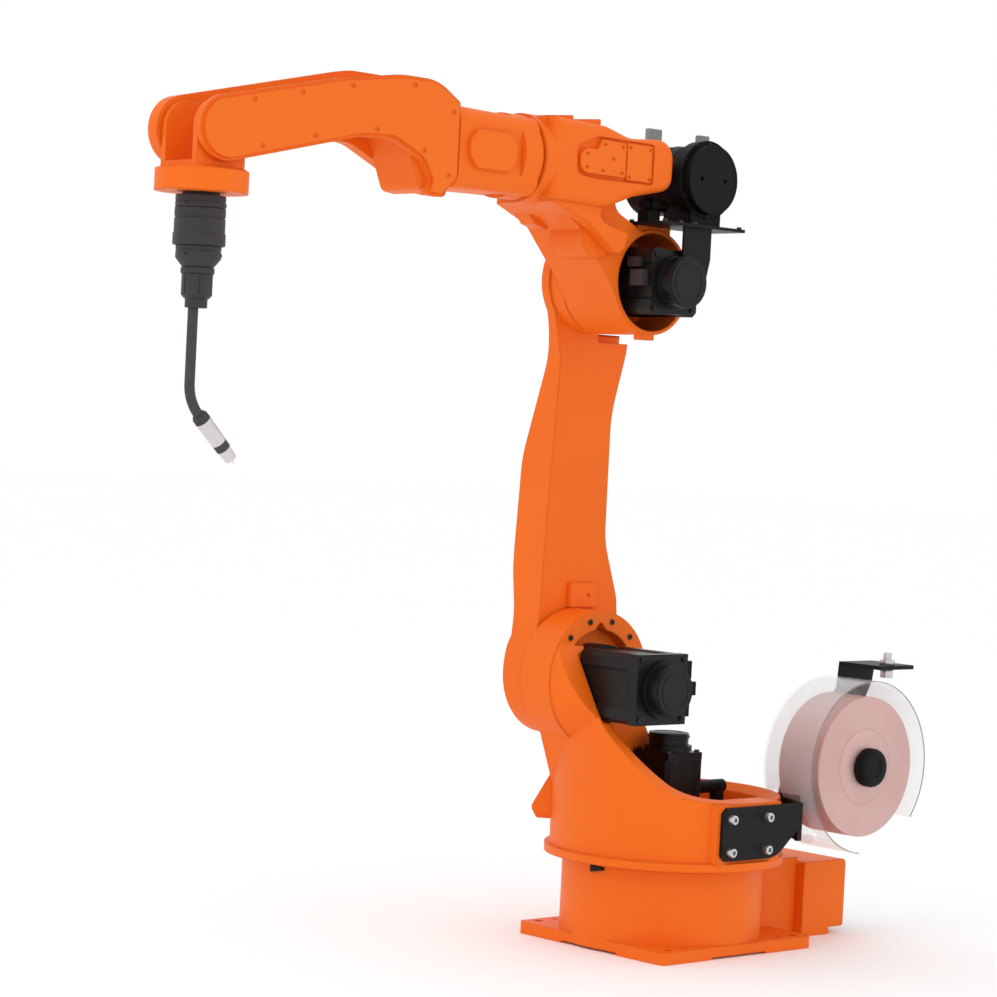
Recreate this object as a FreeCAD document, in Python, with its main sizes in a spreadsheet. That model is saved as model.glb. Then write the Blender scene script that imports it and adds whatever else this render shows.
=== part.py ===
import FreeCAD, Part

# Six-axis arc-welding robot arm: FreeCAD model, millimetres.
# Origin: where the J1 axis meets the floor. +X forward along the forearm, +Y to the
# motor side, +Z up. Every casting, motor, cover and torch part is one solid of its own.

import math
import os

import Sketcher
from FreeCAD import Placement, Rotation, Vector

doc = FreeCAD.newDocument("welding_robot")
sheet = doc.addObject("Spreadsheet::Sheet", "Sizes")

# ---- driving dimensions -------------------------------------------------------------
DIMENSIONS = {
    # reach of the arm
    "shoulder_forward": 147,      # J1 axis to J2 axis, along X
    "shoulder_height": 512,       # floor to J2 axis
    "arm_length": 765,            # J2 axis to J3 axis
    "elbow_rise": 206,            # J3 axis to J4 axis
    "forearm_reach": 1046,        # J3 axis to J5 axis, along X
    "wrist_drop": 21,             # J4 axis down to J5 axis
    # fits
    "joint_gap": 0.3,             # face to face at a joint's bearing land
    "sweep_gap": 5,               # room between castings that turn past each other
    # base
    "plate_back": 226,
    "plate_front": 192,
    "plate_half": 198,
    "plate_thick": 24,
    "foot_relief": 4,
    "relief_width": 150,
    "relief_depth": 50,
    "drum_radius": 196,
    "drum_top": 165,
    "bearing_radius": 150,
    "neck_back": 300,
    "neck_half": 85,
    "neck_top": 158,
    "bolt_x": 174,                # half spacing of the base bolts, along X
    "bolt_y": 176,
    "bolt_hole": 9,
    "dowel_step": 42,
    "dowel_hole": 6,
    "box_back": 425,
    "box_half": 105,
    "box_top": 150,
    "box_foot_back": 382,
    "box_foot_rise": 14,
    # turret
    "flange_radius": 233,
    "flange_thick": 16,
    "tub_radius": 223,
    "tub_wall": 22,
    "tub_top": 298,
    "tub_floor": 12,
    "cheek_near": -55,            # Y of the ring face that carries the J2 motor
    "cheek_far": -136,            # Y of the face that the lower arm turns on
    "cheek_radius": 131,
    "ring_bore": 95,
    "ring_depth": 28,
    "wing_top": 580,
    "motor_square": 134,
    "small_motor_square": 102,
    # spool
    "spool_back": 310,            # J1 axis back to the spool axis
    "spool_height": 357,
    "spool_radius": 138,
    "spool_width": 104,
    "spool_front": 240,
    "spool_bore": 26,
    "spool_fit": 0.1,
    "guard_radius": 170,
    "guard_wall": 3,
    "bracket_face": 223,
    "bracket_thick": 8,
    # lower arm
    "arm_near": -141,
    "arm_far": -226,
    "hub_radius": 118,
    "top_radius": 102,
    "elbow_far": -104,            # Y of the elbow face that the lower arm's hub meets
    # elbow
    "housing_radius": 100,
    "shelf_drop": 94,             # J4 axis down to the top of the feeder's shelf
    "shelf_thick": 6,
    "housing_bore": 93,
    "housing_near": 38,
    "elbow_half": 80,
    "tube_radius": 82,
    "elbow_front": 485,
    # forearm
    "fork_inner": 52,
    "fork_wall": 12,              # thickness of the near side of the fork
    "far_wall": 26,
    "cover_thick": 6,
    "fork_end_radius": 55,
    "far_end_radius": 59,
    "cover_inset": 6,
    "fork_back": 680,
    "tube_half": 66,              # half width of the forearm tube
    "tube_rise": 70,              # J4 axis to the flat top of the forearm tube
    "tube_drop": 72,
    # wrist and torch
    "wrist_half": 50,
    "collar_radius": 79,
    "flange_drop": 106,           # J5 axis down to the tool face
    "neck_shift": 5.5,            # torch tube ahead of the J6 axis
    "torch_tube_radius": 8.8,
    "neck_bend": 72,
}


class Size:
    """A number in millimetres together with the sheet formula that gives it."""

    def __init__(self, value, text):
        self.value = float(value)
        self.text = text

    def __add__(self, other):
        other = size(other)
        return Size(self.value + other.value, f"({self.text} + {other.text})")

    def __radd__(self, other):
        return size(other) + self

    def __sub__(self, other):
        other = size(other)
        return Size(self.value - other.value, f"({self.text} - {other.text})")

    def __rsub__(self, other):
        return size(other) - self

    def __mul__(self, factor):
        return Size(self.value * factor, f"({self.text} * {factor!r})")

    def __rmul__(self, factor):
        return self * factor

    def __truediv__(self, factor):
        return Size(self.value / factor, f"({self.text} / {factor!r})")

    def __neg__(self):
        return Size(-self.value, f"(0 - {self.text})")

    def __float__(self):
        return self.value


def size(thing):
    """Any plain number, as a Size."""
    if isinstance(thing, Size):
        return thing
    return Size(thing, f"({float(thing)!r})")


class Sheet:
    """The driving dimensions, each read as a Size by its alias."""


S = Sheet()
for row, (alias, number) in enumerate(DIMENSIONS.items(), 1):
    sheet.set(f"A{row}", alias)
    sheet.set(f"B{row}", str(number))
    sheet.setAlias(f"B{row}", alias)
    setattr(S, alias, Size(number, f"Sizes.{alias}"))
doc.recompute()

# ---- the places of the axes -----------------------------------------------------------
J2_X, J2_Z = S.shoulder_forward, S.shoulder_height
J3_X, J3_Z = S.shoulder_forward, S.shoulder_height + S.arm_length
J4_Z = J3_Z + S.elbow_rise
J5_X, J5_Z = J3_X + S.forearm_reach, J4_Z - S.wrist_drop
FLANGE_BOTTOM = S.drum_top + S.sweep_gap
FLANGE_TOP = FLANGE_BOTTOM + S.flange_thick
TUB_FLOOR = FLANGE_TOP + S.tub_floor

sub_parts = []


# ---- small tools ------------------------------------------------------------------------
def bind(thing, prop, length):
    thing.setExpression(prop, length.text)


def place(thing, corner):
    """Put an object's own origin at a corner given as three Sizes."""
    for axis, length in zip("xyz", corner):
        bind(thing, f".Placement.Base.{axis}", size(length))


def block(name, low, high):
    """A box from its low corner to its high corner."""
    made = doc.addObject("Part::Box", name)
    for prop, a, b in zip(("Length", "Width", "Height"), low, high):
        bind(made, prop, size(b) - size(a))
    place(made, low)
    return made


TURN = {"x": Rotation(Vector(0, 1, 0), 90),
        "y": Rotation(Vector(1, 0, 0), -90),
        "z": Rotation()}


def rod(name, axis, start, radius, length, end_radius=None):
    """A cylinder, or a cone, that runs from start along +axis."""
    kind = "Part::Cylinder" if end_radius is None else "Part::Cone"
    made = doc.addObject(kind, name)
    if end_radius is None:
        bind(made, "Radius", size(radius))
    else:
        bind(made, "Radius1", size(radius))
        bind(made, "Radius2", size(end_radius))
    bind(made, "Height", size(length))
    made.Placement = Placement(Vector(), TURN[axis])
    place(made, start)
    return made


def fuse(name, *pieces):
    made = doc.addObject("Part::MultiFuse", name)
    made.Shapes = list(pieces)
    made.Refine = True
    return made


def cut(name, base, *tools):
    made = doc.addObject("Part::Cut", name)
    made.Base = base
    made.Tool = tools[0] if len(tools) == 1 else fuse(name + "_tools", *tools)
    made.Refine = True
    return made


def common(name, first, second):
    made = doc.addObject("Part::Common", name)
    made.Base = first
    made.Tool = second
    made.Refine = True
    return made


def rounded(points):
    """Lines and tangent arcs through corners (across, up, radius of the corner)."""
    count = len(points)
    ends = []
    arcs = []
    for here in range(count):
        corner = Vector(float(points[here][0]), float(points[here][1]), 0)
        radius = float(points[here][2]) if len(points[here]) > 2 else 0
        before = Vector(*(float(v) for v in points[here - 1][:2]), 0) - corner
        after = Vector(*(float(v) for v in points[(here + 1) % count][:2]), 0) - corner
        if not radius:
            ends.append((corner, corner))
            arcs.append(None)
            continue
        half = before.getAngle(after) / 2
        back = radius / math.tan(half)
        before.normalize()
        after.normalize()
        middle = (before + after).normalize()
        start, stop = corner + before * back, corner + after * back
        top = corner + middle * (radius / math.sin(half) - radius)
        ends.append((start, stop))
        arcs.append(Part.Arc(start, top, stop))
    edges = []
    for here in range(count):
        if arcs[here]:
            edges.append(arcs[here])
        start, stop = ends[here][1], ends[(here + 1) % count][0]
        side = Vector(*(float(v) for v in points[(here + 1) % count][:2]), 0) - Vector(
            *(float(v) for v in points[here][:2]), 0)
        if (stop - start).dot(side) < -1e-4:
            raise ValueError(f"corner radii overrun the side after corner {here} of {points}")
        if start.distanceToPoint(stop) > 1e-4:
            edges.append(Part.LineSegment(start, stop))
    return edges


PLANE = {"z": "XY_Plane", "y": "XZ_Plane", "x": "YZ_Plane"}


def slab(name, axis, loops, low, high):
    """A PartDesign body: outlines drawn square to an axis, padded from low to high."""
    body = doc.addObject("PartDesign::Body", name)
    sketch = body.newObject("Sketcher::SketchObject", name + "_sketch")
    role = PLANE[axis]
    plane = [item for item in body.Origin.OriginFeatures if item.Role == role][0]
    sketch.AttachmentSupport = [(plane, "")]
    sketch.MapMode = "FlatFace"
    # The XZ plane faces -Y, so its pads start at the high side and run down to the low.
    start = -size(high) if axis == "y" else size(low)
    bind(sketch, ".AttachmentOffset.Base.z", start)
    for loop in loops:
        sketch.addGeometry(loop, False)
    pad = body.newObject("PartDesign::Pad", name + "_pad")
    pad.Profile = sketch
    bind(pad, "Length", size(high) - size(low))
    body.Tip = pad
    return body


def soften(body, radius, picks):
    """Round the edges of a body's pad that the picks test accepts."""
    doc.recompute()
    pad = body.Tip
    names = [f"Edge{n}" for n, edge in enumerate(pad.Shape.Edges, 1) if picks(edge)]
    fillet = body.newObject("PartDesign::Fillet", body.Name + "_fillet")
    fillet.Base = (pad, names)
    bind(fillet, "Radius", size(radius))
    body.Tip = fillet
    return body


def lies_at(edge, axis, level):
    """True where the whole edge lies at a level of one axis."""
    low = getattr(edge.BoundBox, axis.upper() + "Min")
    high = getattr(edge.BoundBox, axis.upper() + "Max")
    return abs(low - float(level)) < 0.01 and abs(high - float(level)) < 0.01


def keep(made, label):
    """Name a finished sub-part."""
    made.Label = label
    sub_parts.append(made)
    return made


# ---- base: bolted to the floor ---------------------------------------------------------
def base_casting():
    corner = 12
    plate = slab("plate", "z", [rounded([
        (-S.plate_back, -S.plate_half, corner), (S.plate_front, -S.plate_half, corner),
        (S.plate_front, S.plate_half, corner), (-S.plate_back, S.plate_half, corner)])],
        0, S.plate_thick)
    drum = rod("drum", "z", (0, 0, 0), S.drum_radius, S.drum_top)
    land = rod("bearing_land", "z", (0, 0, 0), S.bearing_radius, FLANGE_BOTTOM - S.joint_gap)
    neck = block("neck", (-S.neck_back, -S.neck_half, 0), (0, S.neck_half, S.neck_top))
    # Low arches under the front and the long edges leave the foot on its corners and middle.
    middle = (S.plate_front - S.plate_back) / 2
    half = S.relief_width / 2
    arches = [
        block("arch_front", (S.plate_front - S.relief_depth, -half, -1),
              (S.drum_radius + 1, half, S.foot_relief)),
        block("arch_near", (middle - half, S.plate_half - S.relief_depth, -1),
              (middle + half, S.plate_half + 1, S.foot_relief)),
        block("arch_far", (middle - half, -S.plate_half - 1, -1),
              (middle + half, -S.plate_half + S.relief_depth, S.foot_relief))]
    holes = []
    for side_x in (-1, 1):
        for side_y in (-1, 1):
            name = f"{'front' if side_x > 0 else 'rear'}_{'near' if side_y > 0 else 'far'}"
            x, y = middle + S.bolt_x * side_x, S.bolt_y * side_y
            holes.append(rod("bolt_" + name, "z", (x, y, -1), S.bolt_hole, S.plate_thick + 2))
            dowel_x = x - S.dowel_step * side_x
            holes.append(rod("dowel_" + name, "z", (dowel_x, y, -1), S.dowel_hole,
                             S.plate_thick + 2))
    body = fuse("base_body", plate, drum, land, neck)
    return keep(cut("base_cast", body, *arches, *holes), "base_casting")


def base_cable_box():
    corner = 10
    box = slab("cable_box", "y", [rounded([
        (-S.neck_back, 0), (-S.neck_back, S.box_top, corner), (-S.box_back, S.box_top, corner),
        (-S.box_back, S.box_foot_rise, corner / 2), (-S.box_foot_back, S.box_foot_rise),
        (-S.box_foot_back, 0)])], -S.box_half, S.box_half)
    keep(box, "base_cable_box")
    plate_thick, plate_half, low, high = 4, 82, 30, 132
    face = -S.box_back - plate_thick
    plate = slab("socket_plate", "x", [rounded([
        (-plate_half, low, 8), (plate_half, low, 8), (plate_half, high, 8),
        (-plate_half, high, 8)])], face, -S.box_back)
    keep(plate, "connector_plate")
    sockets = []
    for name, left, right, bottom, top, reach in (
            ("power_socket", -70, -6, 52, 112, 34), ("signal_socket", 12, 66, 60, 104, 28)):
        sockets.append(block(name, (face - reach, left, bottom), (face, right, top)))
    both = doc.addObject("Part::Compound", "sockets")
    both.Links = sockets
    keep(both, "rear_connectors")


def zero_mark():
    """The J1 zero pointer: a small dark wedge on the front of the drum."""
    tip, tail, reach, depth = 4, 34, 6, 8
    wedge = slab("pointer", "x", [rounded([
        (tip, S.drum_top - 15), (tip, S.drum_top - 1), (tail, S.drum_top - 4),
        (tail, S.drum_top - 9)])], S.drum_radius - depth, S.drum_radius + reach)
    drum = rod("pointer_seat", "z", (0, 0, 0), S.drum_radius, S.drum_top)
    keep(cut("pointer_cut", wedge, drum), "zero_mark")


# ---- turret: turns on J1 -----------------------------------------------------------------
def turret_casting():
    tall = S.wing_top + 60
    flange = rod("turret_flange", "z", (0, 0, FLANGE_BOTTOM), S.flange_radius, S.flange_thick)
    tub = rod("tub", "z", (0, 0, FLANGE_BOTTOM), S.tub_radius, S.tub_top - FLANGE_BOTTOM)
    # The front wall climbs in one long slope from the near rim to the top of the J2 ring.
    wall = rod("wing_wall", "z", (0, 0, FLANGE_BOTTOM), S.tub_radius, tall)
    slope = slab("wing_slope", "x", [rounded([
        (S.tub_radius + 5, FLANGE_TOP), (S.tub_radius + 5, S.tub_top),
        (S.tub_radius - 58, S.tub_top + 10, 120), (S.cheek_near + 85, S.wing_top - 142, 300),
        (S.cheek_near, S.wing_top), (S.cheek_far, S.wing_top + 10), (S.cheek_far, FLANGE_TOP)])],
        0, J2_X + S.cheek_radius + 1)
    wing = common("wing", wall, slope)
    # The brow: the ring's rim runs out on to the wall as a cone under the same slope.
    brow_run = 86
    brow_cone = rod("brow_cone", "y", (J2_X, S.cheek_near - 3, J2_Z), S.cheek_radius - 1,
                    size(brow_run), S.cheek_radius - 32)
    brow_front = block("brow_front", (J2_X + 50, S.cheek_near - 5, S.tub_top + 40),
                       (J2_X + S.cheek_radius + 5, S.cheek_near + brow_run - 8, tall))
    brow = common("brow", common("brow_slope", brow_cone, slope), brow_front)
    inner = S.tub_radius - S.tub_wall
    inside = rod("tub_space", "z", (0, 0, TUB_FLOOR), inner, tall)
    bevel = cut("rim_bevel", rod("rim_cone", "z", (0, 0, S.tub_top - 15), inner, size(15.5),
                                 inner + 16), wing)
    shell = cut("tub_shell", fuse("tub_solid", flange, tub, wing), inside, bevel)
    # The cheek: the thick upright plate whose round top carries J2.
    reach = S.tub_radius - S.tub_wall / 2
    cheek = slab("cheek", "y", [rounded([
        (-reach + 10, TUB_FLOOR - 2), (-reach + 10, S.tub_top - 4, 30),
        (J2_X - S.cheek_radius - 75, S.tub_top + 6, 120),
        (J2_X - S.cheek_radius * 0.93, J2_Z - S.cheek_radius * 0.55, 90),
        (J2_X - S.cheek_radius, J2_Z, 60),
        (J2_X - S.cheek_radius * 0.4, J2_Z + S.cheek_radius * 0.6),
        (J2_X + S.cheek_radius * 0.4, J2_Z + S.cheek_radius * 0.6),
        (J2_X + S.cheek_radius * 0.8, J2_Z),
        (J2_X + 72, J2_Z - 107, 160), (reach - 36, S.tub_top - 4, 60),
        (reach - 38, TUB_FLOOR - 2)])], S.cheek_far, S.cheek_near)
    head = rod("cheek_head", "y", (J2_X, S.cheek_far, J2_Z), S.cheek_radius,
               S.cheek_near - S.cheek_far)
    window = slab("cheek_window", "y", [rounded([
        (-S.cheek_radius * 0.95, TUB_FLOOR, 20), (-S.cheek_radius * 0.95, S.tub_top - 40, 30),
        (10, S.tub_top + 40, 40), (110, S.tub_top + 40, 40), (110, TUB_FLOOR, 20)])],
        S.cheek_far + 20, S.cheek_near + 1)
    pad_half = 88
    pad = block("bracket_pad", (-pad_half, S.tub_radius - 60, FLANGE_TOP),
                (pad_half, S.bracket_face, S.tub_top))
    body = fuse("turret_body", shell, cheek, head, brow, pad, stop_wedge())
    bore = rod("ring_recess", "y", (J2_X, S.cheek_near - S.ring_depth, J2_Z), S.ring_bore,
               S.ring_depth + 1)
    notch = slab("ring_notch", "y", [rounded([
        (J2_X - 26, J2_Z + S.ring_bore - 12), (J2_X, J2_Z + S.ring_bore + 16, 6),
        (J2_X + 26, J2_Z + S.ring_bore - 12)])], S.cheek_near - S.ring_depth, S.cheek_near + 1)
    spigot = rod("shaft_hole", "y", (J2_X, S.cheek_far - 1, J2_Z), 56,
                 S.cheek_near - S.cheek_far + 2)
    room = S.motor_square / 2 + 2
    motor_room = block("j2_motor_room", (J2_X - room, S.cheek_near + 10, J2_Z - room - 6),
                       (J2_X + room, S.tub_radius, J2_Z + room))
    spigot_room = rod("j2_spigot_room", "y", (J2_X, S.cheek_near - 1, J2_Z - 4.5), 74, 20)
    trimmed = cut("turret_cut", body, bore, notch, spigot, window, motor_room, spigot_room,
                  rod("tub_clear", "z", (0, 0, TUB_FLOOR), S.small_motor_square * 0.9, tall / 6))
    return keep(trimmed, "turret_casting")


def stop_wedge():
    """The wedge-shaped J1 stop on the front of the tub, 50 degrees round to the far side."""
    face = S.tub_radius
    width = slab("stop_width", "x", [rounded([
        (-36, FLANGE_TOP + 42, 18), (36, FLANGE_TOP + 42, 18), (36, FLANGE_TOP + 130, 20),
        (-36, FLANGE_TOP + 130, 20)])], face - 30, face + 38)
    slant = slab("stop_slant", "y", [rounded([
        (face - 60, FLANGE_TOP + 36), (face + 22, FLANGE_TOP + 36, 12),
        (face + 37, FLANGE_TOP + 66, 14), (face + 2, FLANGE_TOP + 132),
        (face - 60, FLANGE_TOP + 132)])], -40, 40)
    wedge = common("stop_wedge", width, slant)
    wedge.Placement = Placement(Vector(), Rotation(Vector(0, 0, 1), -50))
    return wedge


def servo(name, axis, face, back, square, centre_a, centre_b):
    """A servo motor's body: square, with chamfered corners and a groove along each side."""
    half, nip, groove = square / 2, 9, 3
    points = []
    for turn in range(4):
        c, s = math.cos(turn * math.pi / 2), math.sin(turn * math.pi / 2)
        for a, b in ((half, -half + nip), (half, -half * 0.55), (half - groove, -half * 0.5),
                     (half - groove, half * 0.5), (half, half * 0.55), (half, half - nip)):
            across, up = float(a), float(b)
            points.append((centre_a + (across * c - up * s), centre_b + (across * s + up * c)))
    return slab(name, axis, [rounded(points)], face, back)


def j1_motor():
    half = S.small_motor_square / 2
    top = TUB_FLOOR + 176
    body = servo("j1_servo", "z", TUB_FLOOR, top - 14, S.small_motor_square, size(0), size(0))
    flange = block("j1_servo_foot", (-half - 6, -half - 6, TUB_FLOOR),
                   (half + 6, half + 6, TUB_FLOOR + 14))
    collar = block("j1_servo_collar", (-half + 4, -half + 4, top - 14), (half - 4, half - 4, top))
    keep(fuse("j1_servo_all", body, flange, collar), "j1_motor")
    low = rod("j1_cap_low", "z", (0, 0, top), 46, 12)
    high = rod("j1_cap_high", "z", (0, 0, top), 39, 36)
    keep(fuse("j1_cap", low, high), "j1_motor_cap")
    plug_y, plug_z, bend = 10, top - 74, 134
    stem = rod("j1_plug_stem", "x", (-bend - 14, plug_y, plug_z), 13, bend + 14 - half)
    fall = rod("j1_plug_fall", "z", (-bend, plug_y, plug_z - 36), 14, 36)
    nut = rod("j1_plug_nut", "x", (-half - 22, plug_y, plug_z), 17, 22)
    keep(fuse("j1_plug", stem, fall, nut), "j1_motor_plug")


def j2_motor():
    seat = S.cheek_near - S.ring_depth
    front, back, sag = -38, 117, 4.5
    half = S.motor_square / 2
    centre_z = J2_Z - sag
    body = servo("j2_servo", "y", front, back - 22, S.motor_square, J2_X, centre_z)
    rear = block("j2_servo_rear", (J2_X - half, back - 22, centre_z - half),
                 (J2_X + half, back, centre_z + half))
    spigot = rod("j2_spigot", "y", (J2_X, seat, centre_z), 72, front + 1 - seat)
    pilot = rod("j2_pilot", "y", (J2_X, seat - 30, J2_Z), 55, 31)
    keep(fuse("j2_servo_all", body, rear, spigot, pilot), "j2_motor")
    low = rod("j2_cap_low", "y", (J2_X, back, centre_z), 55, 10)
    high = rod("j2_cap_high", "y", (J2_X, back, centre_z), 46, 36)
    keep(fuse("j2_cap", low, high), "j2_motor_cap")
    plugs = []
    for name, z, long, wide in (("j2_plug_high", 36, 16, 34), ("j2_plug_mid", 0, 30, 26),
                                ("j2_plug_low", -36, 14, 34)):
        plugs.append(block(name, (J2_X - half - long, back - 34, centre_z + z - wide / 2),
                           (J2_X - half, back - 4, centre_z + z + wide / 2)))
    both = doc.addObject("Part::Compound", "j2_plugs")
    both.Links = plugs
    keep(both, "j2_motor_plugs")


# ---- spool carrier on the turret's near side ---------------------------------------------
def spool_carrier():
    near = S.bracket_face + S.bracket_thick
    arm_near = S.spool_front - S.spool_width - 10
    low, high = FLANGE_TOP + 6, S.tub_top - 5
    back_x, axis_z = -S.spool_back, S.spool_height
    # One bent plate: flat on the turret, slanted in behind the spool, then up past it.
    plate = slab("carrier_plate", "y", [rounded([
        (80, low + 10), (80, high - 10), (68, high), (-142, high), (-142, low + 60, 30),
        (-71, low, 60), (68, low)])], S.bracket_face, near)
    arm_far = arm_near - S.bracket_thick
    step = slab("carrier_slant", "z", [rounded([
        (-130, S.bracket_face), (-130, near), (-142, near), (-197, arm_near), (-207, arm_near),
        (-207, arm_far), (-192, arm_far), (-137, S.bracket_face)])], low + 28, high)
    blade = slab("carrier_blade", "y", [rounded([
        (-192, low + 28), (-192, high), (back_x + 95, axis_z - 7, 20), (back_x + 50, axis_z + 83, 20),
        (back_x - 20, axis_z + 123, 20), (back_x - 42, axis_z + 143, 20), (back_x - 47, axis_z + 196),
        (back_x - 149, axis_z + 196), (back_x - 142, axis_z + 153, 40),
        (back_x - 62, axis_z + 23, 50), (back_x - 50, axis_z - 40, 30),
        (back_x + 50, axis_z - 107, 40)])], arm_far, arm_near)
    tab_top = axis_z + 196
    tab = block("carrier_tab", (back_x - 149, arm_far, tab_top - S.bracket_thick),
                (back_x - 47, arm_near + 100, tab_top))
    gland_x, gland_y = back_x - 98, 200
    hole = rod("gland_hole", "z", (gland_x, gland_y, tab_top - 40), 9, 60)
    spool_room = rod("carrier_spool_room", "y", (back_x, arm_near + 0.5, axis_z),
                     S.spool_radius + 7, S.spool_width + 20)
    keep(cut("carrier_cut", fuse("carrier", plate, step, blade, tab), hole, spool_room),
         "spool_bracket")
    heads = []
    for where, side in (("rear", -38), ("front", 62)):
        for level, height in (("low", 210), ("high", 272)):
            name = f"bolt_{where}_{level}"
            head = rod(name + "_head", "y", (side, near, height), 9, 14)
            socket = rod(name + "_key", "y", (side, near + 6, height), 4.5, 9)
            heads.append(cut(name, head, socket))
    bolts = doc.addObject("Part::Compound", "bracket_bolt_set")
    bolts.Links = heads
    keep(bolts, "bracket_bolts")
    nut = rod("gland_nut", "z", (gland_x, gland_y, tab_top), 17, 10)
    stem = rod("gland_stem", "z", (gland_x, gland_y, tab_top - 26), 8.9, 50)
    skirt = rod("gland_skirt", "z", (gland_x, gland_y, tab_top - 26), 14, 26 - S.bracket_thick)
    liner = rod("gland_bore", "z", (gland_x, gland_y, tab_top - 34), 2.5, 70)
    keep(cut("gland_cut", fuse("gland", nut, stem, skirt), liner), "wire_gland")
    shaft = rod("shaft_rod", "y", (back_x, arm_near, axis_z), S.spool_bore - S.spool_fit,
                S.spool_front + 2 - arm_near)
    collar = rod("shaft_collar", "y", (back_x, arm_near, axis_z), 40, 9.7)
    keep(fuse("spool_shaft_all", shaft, collar), "spool_shaft")
    cap = rod("cap_disc", "y", (back_x, S.spool_front + 2, axis_z), 37, 24)
    keep(cap, "spool_hub_cap")
    spool_guard(back_x, axis_z, arm_near)


def spool_guard(back_x, axis_z, arm_near):
    """The clear cover: a drum wall open at its lower rear, with a back disc to the blade."""
    front = S.spool_front + 10
    outer = rod("guard_outer", "y", (back_x, arm_near + 0.3, axis_z), S.guard_radius,
                front - arm_near - 0.3)
    inner = rod("guard_inner", "y", (back_x, arm_near + 0.3 + S.guard_wall, axis_z),
                S.guard_radius - S.guard_wall, front - arm_near)
    hole = rod("guard_hub_hole", "y", (back_x, arm_near - 1, axis_z), 46, 12)
    far = S.guard_radius + 40
    opening = slab("guard_opening", "y", [rounded([
        (back_x, axis_z), (back_x - far * math.cos(math.radians(38)),
                           axis_z - far * math.sin(math.radians(38))),
        (back_x - far, axis_z - far), (back_x + 22, axis_z - far)])],
        arm_near - 5, front + 5)
    step = block("guard_arm_room", (back_x + 98, arm_near - 5, axis_z - 152),
                 (0, arm_near + 90, axis_z - 52))
    keep(cut("guard_cut", outer, inner, hole, opening, step), "spool_guard")


def wire_spool():
    back = S.spool_front - S.spool_width
    coil = rod("coil", "y", (-S.spool_back, back, S.spool_height), S.spool_radius, S.spool_width)
    bore = rod("coil_bore", "y", (-S.spool_back, back - 1, S.spool_height), S.spool_bore,
               S.spool_width + 2)
    keep(cut("coil_cut", coil, bore), "wire_spool")


# ---- lower arm: turns on J2 ---------------------------------------------------------------
def lower_arm():
    foot_x, foot_z, top_x, top_z = J2_X, J2_Z, J3_X, J3_Z
    plate = slab("arm_plate", "y", [rounded([
        (foot_x - 68, foot_z + 60), (foot_x - 129, foot_z + 96, 30),
        (foot_x - 124, foot_z + 150, 80), (foot_x - 84, foot_z + 262, 160),
        (foot_x - 84, foot_z + 510, 260), (foot_x - 118, foot_z + 636, 160),
        (top_x - 122, top_z - 70, 60), (top_x - 98, top_z + 20, 50),
        (top_x - 40, top_z + 70), (top_x + 50, top_z + 80),
        (top_x + 96, top_z - 10, 50), (top_x + 60, top_z - 150, 150),
        (foot_x + 66, foot_z + 500, 600), (foot_x + 79, foot_z + 250, 500),
        (foot_x + 82, foot_z + 120, 200), (foot_x + 112, foot_z - 10, 60),
        (foot_x + 60, foot_z - 30), (foot_x - 60, foot_z - 30)])], S.arm_far, S.arm_near)
    foot = rod("arm_foot", "y", (foot_x, S.arm_far, foot_z), S.hub_radius,
               S.arm_near - S.arm_far)
    top = rod("arm_top", "y", (top_x, S.arm_far + 40, top_z), S.top_radius,
              S.arm_near - S.arm_far - 40)
    foot_land = rod("arm_foot_land", "y", (foot_x, S.arm_near - 1, foot_z), 88,
                    S.cheek_far - S.joint_gap - S.arm_near + 1)
    top_boss = rod("arm_top_boss", "y", (top_x, S.arm_near - 1, top_z), S.top_radius - 4,
                   S.elbow_far - S.sweep_gap - S.arm_near + 1)
    top_land = rod("arm_top_land", "y", (top_x, S.arm_near - 1, top_z), 84,
                   S.elbow_far - S.joint_gap - S.arm_near + 1)
    body = fuse("arm_body", plate, foot, top, foot_land, top_boss, top_land)
    # The far side swells above the foot, then slants in towards the elbow.
    far = S.arm_far - 20
    slant = slab("arm_slant", "x", [rounded([
        (far, foot_z - 130), (S.arm_far + 30, foot_z - 130), (S.arm_far + 26, foot_z + 20, 150),
        (S.arm_far, foot_z + 200, 250), (S.arm_far, foot_z + 420, 200),
        (S.arm_far + 64, top_z - 90, 250), (S.arm_far + 64, top_z + 200), (far, top_z + 200)])],
        -200, 600)
    slot = slab("arm_slot", "y", [rounded([
        (top_x - 140, top_z - 114), (top_x - 140, top_z - 85), (top_x - 37, top_z - 85, 6),
        (top_x - 37, top_z - 114, 6)])], S.arm_near - 24, S.arm_near + 1)
    keep(cut("arm_cut", body, slant, slot), "lower_arm_casting")
    block_low = (foot_x - 62, S.arm_near, foot_z + 132)
    block_high = (foot_x + 12, S.arm_near + 9, foot_z + 180)
    hole = rod("arm_block_hole", "y", (foot_x - 38, S.arm_near - 1, foot_z + 156), 3, 12)
    keep(cut("arm_block_cut", block("arm_block_body", block_low, block_high), hole), "arm_block")


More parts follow.
